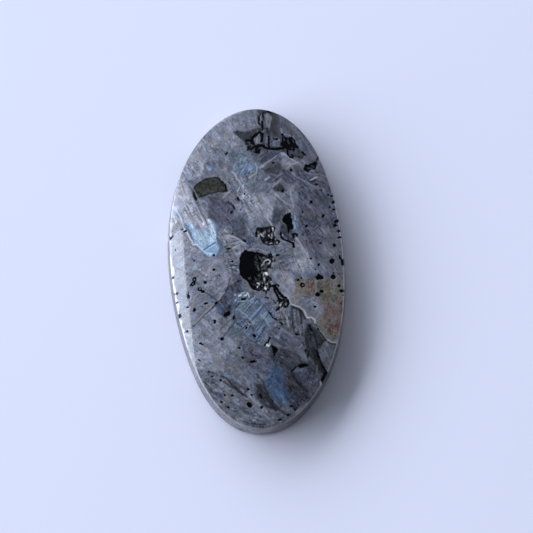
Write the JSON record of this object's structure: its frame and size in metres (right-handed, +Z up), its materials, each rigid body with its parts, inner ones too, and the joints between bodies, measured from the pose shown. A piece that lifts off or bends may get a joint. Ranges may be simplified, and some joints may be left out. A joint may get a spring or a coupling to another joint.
{
  "type": "oval larvikite cabochon",
  "caption": "Oval gemstone cabochon: one piece of blue-grey feldspar rock with a polished low domed face, steep shoulder, leaning wall and flat back for setting or gluing.",
  "frame": {"origin": "middle of the stone's box at its flat back, on the surface it lies on", "axes": "+Y along the long axis of the oval, +X across it, +Z up through the polished domed face"},
  "size_m": [0.0194, 0.036, 0.005],
  "materials": {
    "polished_larvikite": "polished"
  },
  "bodies": {
    "root": {"cabochon": "polished_larvikite"}
  },
  "joints": []
}
